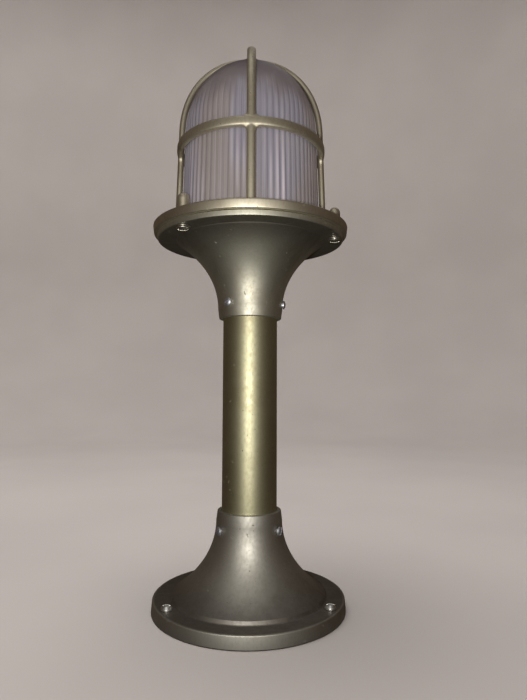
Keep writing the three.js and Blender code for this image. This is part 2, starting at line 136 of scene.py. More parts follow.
class GuardSizes(PropertyGroup):
    """The cast cage and its ring."""

    bar_depth: size("Bar depth", "Bar thickness, measured outwards", 5.6)
    bar_width: size("Bar width", "Bar width, measured across", 7.6)
    belt_z: size("Belt height", "Height of the level bar", 400.2)
    belt_radius: size("Belt radius", "Outside of the level bar", 67)
    belt_width: size("Belt width", "Level bar, from its lower to its upper edge", 8.4)
    spring_z: size("Spring height", "Height where the bars start to bend in", 416)
    squareness: number("Squareness", "2 is an ellipse, more is squarer", 2.2)
    cage_radius: size("Cage radius", "Outside of the bars where they start to bend in", 66)
    lean: number("Lean", "How far the bars lean out on the way down", 0.03)
    bore: size("Bore", "Inside of the ring and of the gasket under it", 62.3)
    ring_height: size("Ring height", "Height of the ring under the bars", 7.5)
    draft: size("Ring draft", "How much the ring narrows towards its lower edge", 0.9)
    fillet: size("Fillet", "Radius in the corners where bars meet", 3.6)
    boss_radius: size("Boss radius", "Radius of the screw bosses", 5)
    boss_top: size("Boss top", "Height of the screw bosses' tops", 345)
    grain: size("Remesh grain", "Size of the cells that join the cage", 0.6)


class GlassSizes(PropertyGroup):
    """The ribbed glass."""

    radius: size("Radius", "Outside of the wall where it starts to bend in", 59.6)
    lean: number("Lean", "How far the wall leans out on the way down", 0.025)
    spring_z: size("Spring height", "Height where the wall starts to bend in", 414)
    crown_z: size("Crown height", "Top of the glass", 482)
    squareness: number("Squareness", "2 is an ellipse, more is squarer", 2.05)
    wall: size("Wall", "Thickness of the glass", 3)
    lip_height: size("Lip height", "Thickness of the foot", 4)
    flutes: IntProperty(name="Flutes", description="Number of ribs", default=70, min=3)
    depth: size("Flute depth", "Depth of the grooves between ribs", 0.7)
    fade_start: size("Fade start", "Height where the grooves start to thin out", 421)
    fade_end: size("Fade end", "Height where the grooves end", 452)


class Finishes(PropertyGroup):
    """Colours of the finishes, and of the painted highlights and shade on the glass."""

    base: colour("Base brass", "Aged cast brass of the base", (0.47, 0.45, 0.39))
    head: colour("Head brass", "Aged cast brass of the head", (0.56, 0.545, 0.445))
    post: colour("Post brass", "Drawn tube", (0.465, 0.44, 0.285))
    guard: colour("Guard brass", "Brushed cast brass", (0.70, 0.645, 0.50))
    tarnish: colour("Base tarnish", "Oldest patches of the base", (0.22, 0.185, 0.135))
    head_tarnish: colour("Head tarnish", "Oldest patches of the head", (0.27, 0.205, 0.125))
    post_tarnish: colour("Post tarnish", "Oldest patches of the post", (0.30, 0.23, 0.11))
    guard_tarnish: colour("Guard tarnish", "Oldest patches of the guard", (0.32, 0.26, 0.16))
    steel: colour("Steel", "Bright screws", (0.78, 0.80, 0.86))
    # Painted shade in the glass's grooves.
    glass: colour("Glass", "Frosted glass between the ribs", (0.17, 0.145, 0.16))
    # Painted highlight along the glass's ribs.
    rib_highlight: colour("Glass rib", "Frosted glass along the ribs", (0.66, 0.60, 0.65))


class StageSettings(PropertyGroup):
    """Camera, light and floor."""

    distance: size("Distance", "Camera to the post", 487.5)
    height: size("Height", "Camera over the floor", 185.9)
    pan: angle("Pan", "Turn of the camera, to the left", -1.41)
    tilt: angle("Tilt", "Tilt of the camera, upwards", 4.16)
    roll: angle("Roll", "Roll of the camera", -0.19)
    lens: number("Lens", "Focal length in millimetres", 28.14)
    floor: colour("Floor", "Plain pale floor", (0.56, 0.52, 0.50))
    room: colour("Room", "Dim light from the sides", (0.050, 0.028, 0.015))
    ceiling: colour("Ceiling", "Dim light from above", (0.052, 0.049, 0.049))
    ground: colour("Ground", "Dim light from below", (0.016, 0.012, 0.008))


# ---------- shader building ----------
class Value:
    """A number that changes over a surface. Arithmetic on it adds Math nodes to its material."""

    def __init__(self, surface, socket):
        self.surface = surface
        self.socket = socket

    def __add__(self, other):
        return self.surface.maths("ADD", self, other)

    __radd__ = __add__

    def __sub__(self, other):
        return self.surface.maths("SUBTRACT", self, other)

    def __rsub__(self, other):
        return self.surface.maths("SUBTRACT", other, self)

    def __mul__(self, other):
        return self.surface.maths("MULTIPLY", self, other)

    __rmul__ = __mul__

    def __pow__(self, other):
        return self.surface.maths("POWER", self, other)

    def __abs__(self):
        return self.surface.maths("ABSOLUTE", self)

    def between(self, low, high):
        """0 below low, 1 above high, and a smooth step from one to the other."""
        node = self.surface.node(
            "ShaderNodeMapRange",
            {"interpolation_type": "SMOOTHSTEP"},
            {"Value": self, "From Min": low, "From Max": high},
        )
        return Value(self.surface, node.outputs[0])


class Tree:
    """Nodes of a material or of the room while they are being made."""

    def __init__(self, owner, place):
        owner.use_nodes = True
        self.tree = owner.node_tree
        self.place = self.node("ShaderNodeTexCoord").outputs[place]

    def node(self, kind, settings=(), inputs=()):
        """A node of any type: its settings first, then values or links for its sockets."""
        made = self.tree.nodes.new(kind)
        for key, value in dict(settings).items():
            setattr(made, key, value)
        for key, value in dict(inputs).items():
            self.feed(made.inputs[key], value)
        return made

    def feed(self, socket, value):
        if isinstance(value, Value):
            value = value.socket
        if isinstance(value, bpy.types.NodeSocket):
            self.tree.links.new(value, socket)
        else:
            socket.default_value = value

    def maths(self, operation, *terms):
        """A Math node's result."""
        node = self.node("ShaderNodeMath", {"operation": operation}, dict(enumerate(terms)))
        return Value(self, node.outputs[0])

    def axes(self):
        """The x, y and z of a point on the surface."""
        split = self.node("ShaderNodeSeparateXYZ", inputs={0: self.place})
        return [Value(self, socket) for socket in split.outputs]

    def mix(self, share, first, second):
        """The first colour where share is 0, the second where it is 1."""
        inputs = {0: share, 6: self.rgba(first), 7: self.rgba(second)}
        return self.node("ShaderNodeMix", {"data_type": "RGBA"}, inputs).outputs[2]

    @staticmethod
    def rgba(value):
        return value if isinstance(value, bpy.types.NodeSocket) else (*value, 1)


class Surface(Tree):
    """A material while it is being made."""

    def __init__(self, name):
        self.material = bpy.data.materials.new(name)
        super().__init__(self.material, "Object")
        self.shader = self.tree.nodes["Principled BSDF"]

    def noise(self, scale, detail=2, roughness=0.5, stretch=(1, 1, 1)):
        """Even noise about 0.5. Stretch is how fast it changes along each axis."""
        place = self.node(
            "ShaderNodeVectorMath", {"operation": "MULTIPLY"}, {0: self.place, 1: stretch}
        ).outputs[0]
        inputs = {"Vector": place, "Scale": scale, "Detail": detail, "Roughness": roughness}
        return Value(self, self.node("ShaderNodeTexNoise", inputs=inputs).outputs[0])

    def bump(self, height, depth, strength=1.0):
        """A normal from a height of 0 to 1, at a real depth in metres."""
        inputs = {"Height": height, "Distance": depth, "Strength": strength}
        return self.node("ShaderNodeBump", inputs=inputs).outputs[0]

    def finish(self, **sockets):
        """Feeds the shader's sockets, each named with underscores for spaces."""
        for key, value in sockets.items():
            self.feed(self.shader.inputs[key.replace("_", " ")], value)
        return self.material


def brass(
    name, bright, tarnish, roughness=0.5, age=0.5, rings=0.15, grain=0.5, clouds=1.6, painted_shade=(), dull=()
):
    """Old brass: clouded tarnish, dark specks, pale scuffs, cast grain and turning marks.

    Painted shade darkens it where shade falls, low on the base and under the head's flange: not at the first
    height, fully at the second, and inside a radius.
    Dull is where it gets rougher: not at the first height, fully at the second.
    """
    surface = Surface(name)
    cloud = surface.noise(19, 3, 0.55)
    mottle = surface.noise(140, 5, 0.65)
    blotch = surface.noise(460, 3, 0.6, (1, 1, 0.55))
    fine = surface.noise(1500, 2, 0.6)
    turning = surface.noise(700, 3, 0.6, (0.04, 0.04, 1))
    speck = surface.noise(330, 1).between(0.73, 0.79)
    scuff = surface.noise(210, 2, 0.7, (1, 1, 0.4)).between(0.68, 0.78) * mottle.between(0.45, 0.6)
    old = (cloud - 0.5) * clouds + (mottle - 0.5) * 0.7 + (turning - 0.5) * rings + age * 0.5
    aged = surface.mix(old.between(0, 1), tuple(bright), tuple(tarnish))
    blotted = surface.mix(blotch.between(0.4, 0.75) * 0.3, aged, tuple(0.55 * c for c in bright))
    scuffed = surface.mix(scuff * 0.35, blotted, SCUFFED_BRASS)
    # Painted shade: darker, mottled brass in a band of heights inside a radius, standing in for shade under
    # a flange and in the base's corner.
    if painted_shade:
        x, y, z = surface.axes()
        start, end, radius = painted_shade
        out = (x * x + y * y) ** 0.5
        shade = z.between(start, end) ** 1.6 * (1 - out.between(radius - 2 * MM, radius))
        scuffed = surface.mix(shade * (0.45 + mottle * 0.4), scuffed, PAINTED_SHADE)
    if dull:
        roughness = surface.axes()[2].between(*dull) * 0.08 + roughness
    spotted = surface.mix(speck * 0.5, scuffed, SPECK)
    height = fine * grain + mottle * 0.5 + blotch * 0.5 + turning * rings - speck * 0.8
    return surface.finish(
        Base_Color=spotted,
        Metallic=1 - speck * 0.35,
        Roughness=roughness + (mottle - 0.5) * 0.1 + (blotch - 0.5) * 0.12 + speck * 0.15,
        Normal=surface.bump(height, 0.06 * MM, 0.6),
    )


def plated(name, tint, roughness=0.25):
    """Bright plated metal with fine scratches and a little dulling."""
    surface = Surface(name)
    dull = surface.noise(240, 4, 0.6)
    scratch = surface.noise(900, 2, 0.5, (1, 0.08, 0.3)).between(0.62, 0.7)
    return surface.finish(
        Base_Color=surface.mix(dull.between(0.35, 0.8), tuple(tint), tuple(0.6 * c for c in tint)),
        Metallic=1.0,
        Roughness=roughness + dull * 0.2 + scratch * 0.12,
        Normal=surface.bump(dull - scratch * 0.4, 0.02 * MM, 0.4),
    )


def moulded(name, tint, roughness=0.45, grain=0.02, coat=0.0):
    """Plastic, rubber or porcelain with a fine skin and slight unevenness of colour."""
    surface = Surface(name)
    cloud = surface.noise(60, 3)
    fine = surface.noise(2400, 2)
    darker = tuple(0.82 * c for c in tint)
    surface.shader.inputs["Coat Roughness"].default_value = 0.12
    return surface.finish(
        Base_Color=surface.mix(cloud.between(0.3, 0.8), tuple(tint), darker),
        Roughness=roughness + (cloud - 0.5) * 0.12,
        Coat_Weight=coat,
        Normal=surface.bump(fine, grain * MM, 0.5),
    )


def frosted_glass(sizes, finishes):
    """Frosted glass with painted highlights along its ribs and painted shade in its grooves, uneven from one
    rib to the next, that fade out on a smooth shoulder.
    """
    surface = Surface("frosted_glass")
    x, y, z = surface.axes()
    turn = surface.maths("ARCTAN2", x, y)
    rib = abs(surface.maths("COSINE", turn * (sizes.flutes / 2)))
    hair = abs(surface.maths("COSINE", turn * (sizes.flutes * 1.5)))
    each = surface.noise(70, 2, 0.6, (1, 1, 0.06))
    patch = surface.noise(24, 2, 0.5, (1, 1, 0.35))
    wander = (each - 0.5) * 60 * MM
    fade = 1 - (z + wander).between(sizes.fade_start, sizes.fade_end)
    # Painted light on the glass: strong below the first height and weaker above the second, where the lamp
    # stands behind the lower wall.
    streaks_full = 0.335
    streaks_weak = 0.42
    low = 1 - z.between(streaks_full, streaks_weak) * 0.7
    # Where the ribs carry painted highlights.
    painted_rib_highlight = rib.between(0.5, 1) * each.between(0.42, 0.66) * patch.between(0.35, 0.6) * fade * low
    # Painted shade in the grooves, stronger low down; the grooves are also made clearer.
    painted_groove_shade = (1 - rib).between(0.5, 1) * each.between(0.3, 0.55) * fade * (0.35 + low * 0.5)
    lines = hair.between(0.6, 1) * (1 - each).between(0.4, 0.6) * fade
    frost = surface.noise(2600, 2, 0.6)
    milky = surface.noise(30, 3)
    dust_full = 0.326
    dust_gone = 0.345
    dust = (1 - z.between(dust_full, dust_gone)) * surface.noise(300, 3).between(0.4, 0.7)
    body = surface.mix(patch.between(0.4, 0.62), WARM_GLASS, COOL_GLASS)
    shoulder = surface.mix(fade, SHOULDER_GLASS, body)
    # Painted shade in the grooves.
    grooved = surface.mix(painted_groove_shade * 0.6, shoulder, tuple(finishes.glass))
    lined = surface.mix(lines * 0.3, grooved, LINED_GLASS)
    # Painted highlight along the ribs.
    ribbed = surface.mix(painted_rib_highlight * 0.9, lined, tuple(finishes.rib_highlight))
    clouded = surface.mix(milky.between(0.45, 0.75) * 0.25, ribbed, MILKY_GLASS)
    return surface.finish(
        Base_Color=surface.mix(dust * 0.3, clouded, DUSTY_GLASS),
        Roughness=0.42 + frost * 0.12,
        Alpha=0.84 + painted_rib_highlight * 0.1 - painted_groove_shade * 0.12,
        Normal=surface.bump(frost, 0.03 * MM, 0.5),
    )


# ---------- mesh building ----------
def placed(name, mesh):
    """A new object that holds a bmesh."""
    data = bpy.data.meshes.new(name)
    mesh.to_mesh(data)
    mesh.free()
    piece = bpy.data.objects.new(name, data)
    bpy.context.scene.collection.objects.link(piece)
    return piece


def lofted(name, rings, closed=False, filled=True):
    """A mesh through rings of points. A ring of one point is a tip, and other ends may be filled."""
    mesh = bmesh.new()
    rows = [[mesh.verts.new(point) for point in ring] for ring in rings]
    pairs = list(zip(rows, rows[1:]))
    if closed:
        pairs.append((rows[-1], rows[0]))
    for low, high in pairs:
        for i in range(max(len(low), len(high))):
            corners = [
                low[i % len(low)],
                low[(i + 1) % len(low)],
                high[(i + 1) % len(high)],
                high[i % len(high)],
            ]
            mesh.faces.new(list(dict.fromkeys(corners)))
    if filled and not closed:
        for row in (rows[0], rows[-1]):
            if len(row) > 2:
                mesh.faces.new(row)
    bmesh.ops.recalc_face_normals(mesh, faces=mesh.faces)
    return placed(name, mesh)


def rounded(points, closed=True, steps=5):
    """An outline of (x, y) or (x, y, radius) points, with an arc in each corner that has a radius."""
    outline = []
    for i, (x, y, *radius) in enumerate(points):
        here = Vector((x, y))
        if not radius or (not closed and i in (0, len(points) - 1)):
            outline.append(here)
            continue
        before = Vector(points[i - 1][:2]) - here
        after = Vector(points[(i + 1) % len(points)][:2]) - here
        reach = radius[0] / math.tan(before.angle(after) / 2)
        reach = min(reach, 0.49 * before.length, 0.49 * after.length)
        start = here + before.normalized() * reach
        end = here + after.normalized() * reach
        for k in range(steps + 1):
            t = k / steps
            outline.append((1 - t) ** 2 * start + 2 * t * (1 - t) * here + t * t * end)
    return outline


def around(radius, turn, z):
    """A point at a turn from the front, towards +X."""
    return Vector((radius * math.sin(turn), -radius * math.cos(turn), z))


def turned(name, outline, sides=96, shape=None, filled=True):
    """A piece turned about +Z from (radius, z) points. Shape may change a radius round the turn."""
    rings = []
    for radius, z in outline:
        if radius < 1e-7:
            rings.append([Vector((0, 0, z))])
            continue
        ring = []
        for i in range(sides):
            turn = math.tau * i / sides
            ring.append(around(shape(radius, z, turn) if shape else radius, turn, z))
        rings.append(ring)
    return lofted(name, rings, outline[0][0] > 1e-7, filled)


def ring(name, inner, outer, low, high, edge, sides):
    """A flat ring with small round edges."""
    outline = [(inner, low, edge), (outer, low, edge), (outer, high, edge), (inner, high, edge)]
    return turned(name, rounded(outline), sides)


def settle(piece):
    """Applies a piece's modifiers."""
    bpy.context.view_layer.update()
    graph = bpy.context.evaluated_depsgraph_get()
    old = piece.data
    piece.data = bpy.data.meshes.new_from_object(piece.evaluated_get(graph))
    piece.modifiers.clear()
    bpy.data.meshes.remove(old)
    return piece


def combine(piece, others, operation="DIFFERENCE"):
    """Cuts other meshes out of a piece, or joins them to it, and removes them."""
    for other in others:
        modifier = piece.modifiers.new(operation, "BOOLEAN")
        modifier.operation = operation
        modifier.solver = "EXACT"
        modifier.object = other
        settle(piece)
        bpy.data.objects.remove(other)
    if not piece.data.polygons:
        raise RuntimeError(f"{piece.name} was lost in a cut")
    return piece


def moved(piece, offset=(0, 0, 0), turn=None):
    """Moves a piece's own mesh, so that its object stays at the origin."""
    matrix = Matrix.Translation(offset)
    if turn is not None:
        matrix = matrix @ turn.to_4x4()
    piece.data.transform(matrix)
    return piece


def cylinder(radius, low, high, sides=40):
    return turned("cutter", [(0, low), (radius, low), (radius, high), (0, high)], sides)


def boxed(name, centre, dimensions, bevel=0.0):
    """A rectangular block, with its edges rounded where a bevel is given."""
    mesh = bmesh.new()
    bmesh.ops.create_cube(mesh, size=1, matrix=Matrix.LocRotScale(centre, None, dimensions))
    if bevel:
        edges = mesh.edges[:]
        bmesh.ops.bevel(mesh, geom=edges, offset=bevel, segments=3, profile=0.5, affect="EDGES")
    return placed(name, mesh)


def finished(piece, material, slot, body, node, sharp=35):
    """Gives a piece its finish and its body, and hides the CAD node that it stands for."""
    piece.data.materials.clear()
    piece.data.materials.append(material)
    piece.data.shade_smooth()
    piece.data.set_sharp_from_angle(angle=math.radians(sharp))
    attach(piece, body)
    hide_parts(node)
    return piece


def dressed(nodes, material):
    """Gives a material to CAD nodes that stay as they are."""
    for node in nodes:
        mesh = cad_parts[node].data
        mesh.materials.clear()
        mesh.materials.append(material)


def turn_of(node):
    """The turn from the front at which a node stands."""
    low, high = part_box(node)
    return math.atan2(low.x + high.x, -(low.y + high.y))


def centre_of(node):
    low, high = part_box(node)
    return (low + high) / 2


def numbered(name):
    """The names of a row of three."""
    return [f"{name}_{i}" for i in (1, 2, 3)]


# ---------- castings ----------
def flare_radius(sizes, distance):
    """Outside radius of a casting at a distance from its collar's open end."""
    rise = max(0, distance - sizes.collar_length) / sizes.half_height
    return sizes.collar_radius + sizes.half_width * (1 - math.sqrt(1 - rise * rise))


def flare(sizes, start, end, steps, inset=0.0):
    """(radius, distance) points along the flare."""
    distances = [start + (end - start) * i / steps for i in range(steps + 1)]
    return [(flare_radius(sizes, d) - inset, d) for d in distances]


def collar(sizes):
    """The bore's edge, the lip and the flare, from the open end outwards."""
    lip = sizes.collar_radius - sizes.lip_taper
    return [
        (POST_BORE, 0, 0.4 * MM),
        (lip, 0, 1.0 * MM),
        *flare(sizes, sizes.collar_length, sizes.flare_length - 1.5 * MM, 36),
    ]


def radial_holes(nodes):
    """Cutters for holes that run in towards the post, where set screws stand."""
    radius = 2.8 * MM
    inner = 16 * MM
    outer = 40 * MM
    holes = []
    for node in nodes:
        hole = cylinder(radius, inner, outer, sides=24)
        upright = Matrix.Rotation(math.pi / 2, 3, "X")
        turn = Matrix.Rotation(turn_of(node), 3, "Z")
        holes.append(moved(hole, (0, 0, mid_z(node)), turn @ upright))
    return holes


def upright_holes(nodes, radius, low, high):
    """Cutters for upright holes where nodes stand."""
    holes = []
    for node in nodes:
        centre = centre_of(node)
        holes.append(moved(cylinder(radius, low, high, sides=24), (centre.x, centre.y, 0)))
    return holes


def mid_z(node):
    low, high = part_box(node)
    return (low.z + high.z) / 2


class BOLLARD_OT_base(Operator):
    """Flared base casting with its flange, step, collar and holes"""

    bl_idname = "bollard.base"
    bl_label = "Base Casting"

    def execute(self, context):
        sizes = context.scene.bollard_castings
        finishes = context.scene.bollard_finishes
        top = BASE_HIGH.z
        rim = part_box("base_screw_1")[1].z - BASE_SCREW_SEAT - GAP
        inner = sizes.step_radius - sizes.wall
        outside = [
            (sizes.step_radius, top - sizes.flare_length, 1.3 * MM),
            (sizes.step_radius + 0.9 * MM, rim, 2.0 * MM),
            (BASE_HIGH.x - 2 * sizes.draft, rim, 1.1 * MM),
            (BASE_HIGH.x, 0, 0.6 * MM),
            (inner, 0, 0.8 * MM),
        ]
        inner_flare = flare(sizes, sizes.socket + LEDGE, sizes.flare_length, 24, sizes.wall)
        inside = [(r, top - d) for r, d in reversed(inner_flare)]
        ledge = [
            (STOP_BORE, top - sizes.socket - LEDGE),
            (STOP_BORE, top - sizes.socket),
            (POST_BORE, top - sizes.socket),
        ]
        points = [(r, top - d, *rest) for r, d, *rest in collar(sizes)] + outside + inside + ledge
        piece = turned("base_shell", rounded(points), sides=160)
        combine(piece, upright_holes(numbered("base_screw"), 3.2 * MM, -MM, rim + MM))
        combine(piece, radial_holes(numbered("lower_set_screw")))
        material = brass(
            "aged_base_brass",
            finishes.base,
            finishes.tarnish,
            roughness=0.57,
            age=0.3,
            rings=0.12,
            grain=0.6,
            # painted shade low on the flare and on the flange inside its rim
            painted_shade=(rim + 26 * MM, rim + 0.3 * MM, BASE_HIGH.x - 1.5 * MM),
        )
        finished(piece, material, "aged_brass", "post", "base_casting")
        return {"FINISHED"}


class BOLLARD_OT_head(Operator):
    """Flared head casting with its flange, glass seat and lamp platform"""

    bl_idname = "bollard.head"
    bl_label = "Head Casting"

    def execute(self, context):
        sizes = context.scene.bollard_castings
        finishes = context.scene.bollard_finishes
        low = HEAD_LOW.z
        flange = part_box("guard_washer_1")[1].z + GAP
        web = sizes.platform_z - PLATFORM_THICKNESS
        seat_foot = sizes.seat_z - 6 * MM - low
        seat_bore = 55 * MM
        outside = [
            (sizes.step_radius, low + sizes.flare_length, 0.7 * MM),
            (sizes.step_radius + 0.7 * MM, flange, 0.5 * MM),
            (HEAD_HIGH.x - sizes.draft, flange, 0.6 * MM),
            (HEAD_HIGH.x, HEAD_HIGH.z, 0.5 * MM),
            (sizes.seat_radius, HEAD_HIGH.z, 0.5 * MM),
            (sizes.seat_radius, sizes.seat_z),
            (seat_bore, sizes.seat_z, 0.5 * MM),
        ]
        inner_flare = flare(sizes, sizes.platform_z - low, seat_foot, 12, sizes.wall)
        bowl = [(r, low + d) for r, d in reversed(inner_flare)]
        gland_hole = 6.2 * MM
        underside = [
            (gland_hole, sizes.platform_z, 0.4 * MM),
            (gland_hole, web, 0.4 * MM),
            (flare_radius(sizes, web - low) - sizes.wall, web, 1.5 * MM),
            (STOP_BORE + 9 * MM, low + sizes.socket + LEDGE, 1.5 * MM),
            (STOP_BORE, low + sizes.socket + LEDGE, 0.5 * MM),
            (STOP_BORE, low + sizes.socket),
            (POST_BORE, low + sizes.socket),
        ]
        points = [(r, low + d, *rest) for r, d, *rest in collar(sizes)] + outside + bowl + underside
        piece = turned("head_shell", rounded(points), sides=160)
        holes = upright_holes(numbered("guard_screw"), 2.8 * MM, sizes.seat_z - 8 * MM, HEAD_HIGH.z + MM)
        small = ["bracket_screw_1", "bracket_screw_2", "earth_screw"]
        holes += radial_holes(numbered("upper_set_screw"))
        holes += upright_holes(small, 1.9 * MM, web - MM, sizes.platform_z + MM)
        combine(piece, holes)
        material = brass(
            "aged_head_brass",
            finishes.head,
            finishes.head_tarnish,
            roughness=0.55,
            age=0.12,
            rings=0.12,
            clouds=1.7,
            # painted shade under the head's flange, inside its rim
            painted_shade=(flange - 22 * MM, flange, HEAD_HIGH.x - 0.4 * MM),
        )
        finished(piece, material, "aged_brass", "post", "head_casting")
        return {"FINISHED"}


class BOLLARD_OT_post(Operator):
    """Drawn brass tube between the castings"""

    bl_idname = "bollard.post"
    bl_label = "Post Tube"

    def execute(self, context):
        finishes = context.scene.bollard_finishes
        edge = 0.35 * MM
        outer = TUBE_HIGH.x
        bore = outer - 2 * MM
        rows = 12
        outline = [
            (bore, TUBE_LOW.z, edge),
            (outer, TUBE_LOW.z, edge),
            *[(outer, TUBE_LOW.z + (TUBE_HIGH.z - TUBE_LOW.z) * i / rows) for i in range(1, rows)],
            (outer, TUBE_HIGH.z, edge),
            (bore, TUBE_HIGH.z, edge),
        ]
        piece = turned("post_pipe", rounded(outline), sides=128)
        material = brass(
            "post_brass",
            finishes.post,
            finishes.post_tarnish,
            roughness=0.53,
            age=0.2,
            rings=0.05,
            grain=0.2,
        )
        finished(piece, material, "post_brass", "post", "post_tube")
        return {"FINISHED"}


# ---------- fasteners ----------
def slotted(name, head, height, shank, length, slot, crown):
    """A slotted screw, its head above z = 0 and its shank below. Head and shank are radii."""
    points = [
        (0, -length),
        (shank, -length, 0.4 * MM),
        (shank, 0, 0.2 * MM),
        (head, 0, 0.35 * MM),
        (head, height - crown, 0.5 * MM),
        (head * 0.62, height - 0.22 * crown, 2.2 * MM),
        (0, height),
    ]
    piece = turned(name, rounded(points, closed=False), sides=48)
    return combine(piece, [boxed("slot", (0, 0, height), (2.4 * head, slot, 2 * MM))])


class BOLLARD_OT_base_screws(Operator):
    """Slotted screws that hold the base down"""

    bl_idname = "bollard.base_screws"
    bl_label = "Base Screws"

    def execute(self, context):
        bright = (0.86, 0.86, 0.83)
        dulled = (0.5, 0.48, 0.43)
        material = brass("screw_brass", bright, dulled, roughness=0.42, age=0, rings=0.05, grain=0.3)
        slot_turns = (3, -5, 35)
        for node, slot_turn in zip(numbered("base_screw"), slot_turns):
            centre = centre_of(node)
            piece = slotted(
                node.replace("base", "foot"),
                head=4.6 * MM,
                height=4.0 * MM,
                shank=2.9 * MM,
                length=9.6 * MM,
                slot=1.5 * MM,
                crown=2.6 * MM,
            )
            turn = Matrix.Rotation(math.radians(slot_turn), 3, "Z")
            moved(piece, (centre.x, centre.y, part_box(node)[1].z - BASE_SCREW_SEAT), turn)
            finished(piece, material, "aged_brass", "post", node)
        return {"FINISHED"}


class BOLLARD_OT_set_screws(Operator):
    """Bright set screws that pinch the post in both collars"""

    bl_idname = "bollard.set_screws"
    bl_label = "Set Screws"

    def execute(self, context):
        sizes = context.scene.bollard_castings
        finishes = context.scene.bollard_finishes
        material = plated("bright_steel", finishes.steel, 0.4)
        head = 3.7 * MM
        upright = Matrix.Rotation(math.pi / 2, 3, "X")
        for row, open_end in (("lower", BASE_HIGH.z), ("upper", HEAD_LOW.z)):
            for i, node in enumerate(numbered(f"{row}_set_screw")):
                z = mid_z(node)
                seat = flare_radius(sizes, abs(z - open_end) + head) + GAP
                length = seat - TUBE_HIGH.x - GAP
                piece = slotted(
                    node.replace("set", "grub"),
                    head=head,
                    height=2.4 * MM,
                    shank=2.5 * MM,
                    length=length,
                    slot=1.1 * MM,
                    crown=1.2 * MM,
                )
                moved(piece, turn=Matrix.Rotation(math.radians(24 + 50 * i), 3, "Z"))
                moved(piece, turn=upright)
                moved(piece, (0, -seat, 0))
                moved(piece, (0, 0, z), Matrix.Rotation(turn_of(node), 3, "Z"))
                finished(piece, material, "bright_steel", "post", node)
        return {"FINISHED"}


class BOLLARD_OT_guard_screws(Operator):
    """Screws and washers that hold the guard down from under the head"""

    bl_idname = "bollard.guard_screws"
    bl_label = "Guard Screws"

    def execute(self, context):
        bright = (0.86, 0.83, 0.74)
        dulled = (0.5, 0.46, 0.38)
        material = brass("guard_screw_brass", bright, dulled, roughness=0.36, age=0, rings=0.05, grain=0.3)
        nickel = plated("washer_plating", (0.62, 0.58, 0.48), 0.28)
        over = Matrix.Rotation(math.pi, 3, "X")
        for i, node in enumerate(numbered("guard_screw")):
            centre = centre_of(node)
            piece = slotted(
                node.replace("screw", "bolt"),
                head=5.3 * MM,
                height=2.6 * MM,
                shank=2.4 * MM,
                length=22 * MM,
                slot=1.6 * MM,
                crown=1.8 * MM,
            )
            turn = Matrix.Rotation(math.radians(6 - 20 * i), 3, "Z")
            moved(piece, (centre.x, centre.y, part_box(node)[0].z + GUARD_SCREW_SEAT), turn @ over)
            finished(piece, material, "aged_brass", node, node)
        for node in numbered("guard_washer"):
            low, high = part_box(node)
            centre = centre_of(node)
            name = node.replace("guard", "flat")
            piece = ring(name, 2.9 * MM, 6.3 * MM, low.z, high.z, edge=0.25 * MM, sides=48)
            moved(piece, (centre.x, centre.y, 0))
            finished(piece, nickel, "plated_brass", "post", node)
        return {"FINISHED"}


# ---------- glass ----------
def dome(radius, spring, crown, squareness, steps):
    """(radius, z) points over a dome, from its spring line to its crown."""
    power = 2 / squareness
    points = []
    for i in range(steps):
        t = math.pi / 2 * i / steps
        height = (crown - spring) * math.sin(t) ** power
        points.append((radius * math.cos(t) ** power, spring + height))
    return points + [(0, crown)]


class BOLLARD_OT_glass(Operator):
    """Ribbed glass dome, its grooves thinning out to points on the shoulder"""

    bl_idname = "bollard.glass"
    bl_label = "Glass"

    def execute(self, context):
        sizes = context.scene.bollard_glass
        finishes = context.scene.bollard_finishes
        lip = GLASS_HIGH.x
        lip_top = GLASS_LOW.z + sizes.lip_height
        wall_rows = 14

        def wall_radius(z):
            return sizes.radius + sizes.lean * max(0, sizes.spring_z - z)

        outer = dome(sizes.radius, sizes.spring_z, sizes.crown_z, sizes.squareness, 40)
        inner_radius = sizes.radius - sizes.wall
        inner_crown = sizes.crown_z - sizes.wall
        inner = dome(inner_radius, sizes.spring_z, inner_crown, sizes.squareness, 28)
        outside_at = {round(z, 7): r for r, z in outer}

        def grooved(radius, z, turn):
            on_wall = z < sizes.spring_z and radius > wall_radius(z) - sizes.wall / 2
            on_dome = abs(outside_at.get(round(z, 7), -1) - radius) < 1e-7
            if not (on_wall or on_dome):
                return radius
            share = min(1, max(0, (z - sizes.fade_start) / (sizes.fade_end - sizes.fade_start)))
            rib = abs(math.cos(turn * sizes.flutes / 2))
            foot = min(1, max(0, (z - lip_top - 1.5 * MM) / (2 * MM)))
            return radius - sizes.depth * foot * max(0, 1 - rib - share)

        levels = [lip_top + (sizes.spring_z - lip_top) * (i + 0.5) / wall_rows for i in range(wall_rows)]
        edge = 0.6 * MM
        outline = [
            *reversed(inner),
            (wall_radius(GLASS_LOW.z) - sizes.wall, GLASS_LOW.z, edge),
            (lip, GLASS_LOW.z, edge),
            (lip, lip_top, edge),
            (wall_radius(lip_top), lip_top, 1.0 * MM),
            *[(wall_radius(z), z) for z in levels],
            *outer,
        ]
        piece = turned("ribbed_glass", rounded(outline, closed=False), sizes.flutes * 8, shape=grooved)
        material = frosted_glass(sizes, finishes)
        finished(piece, material, "frosted_glass", "glass", "glass_dome", 60)
        return {"FINISHED"}


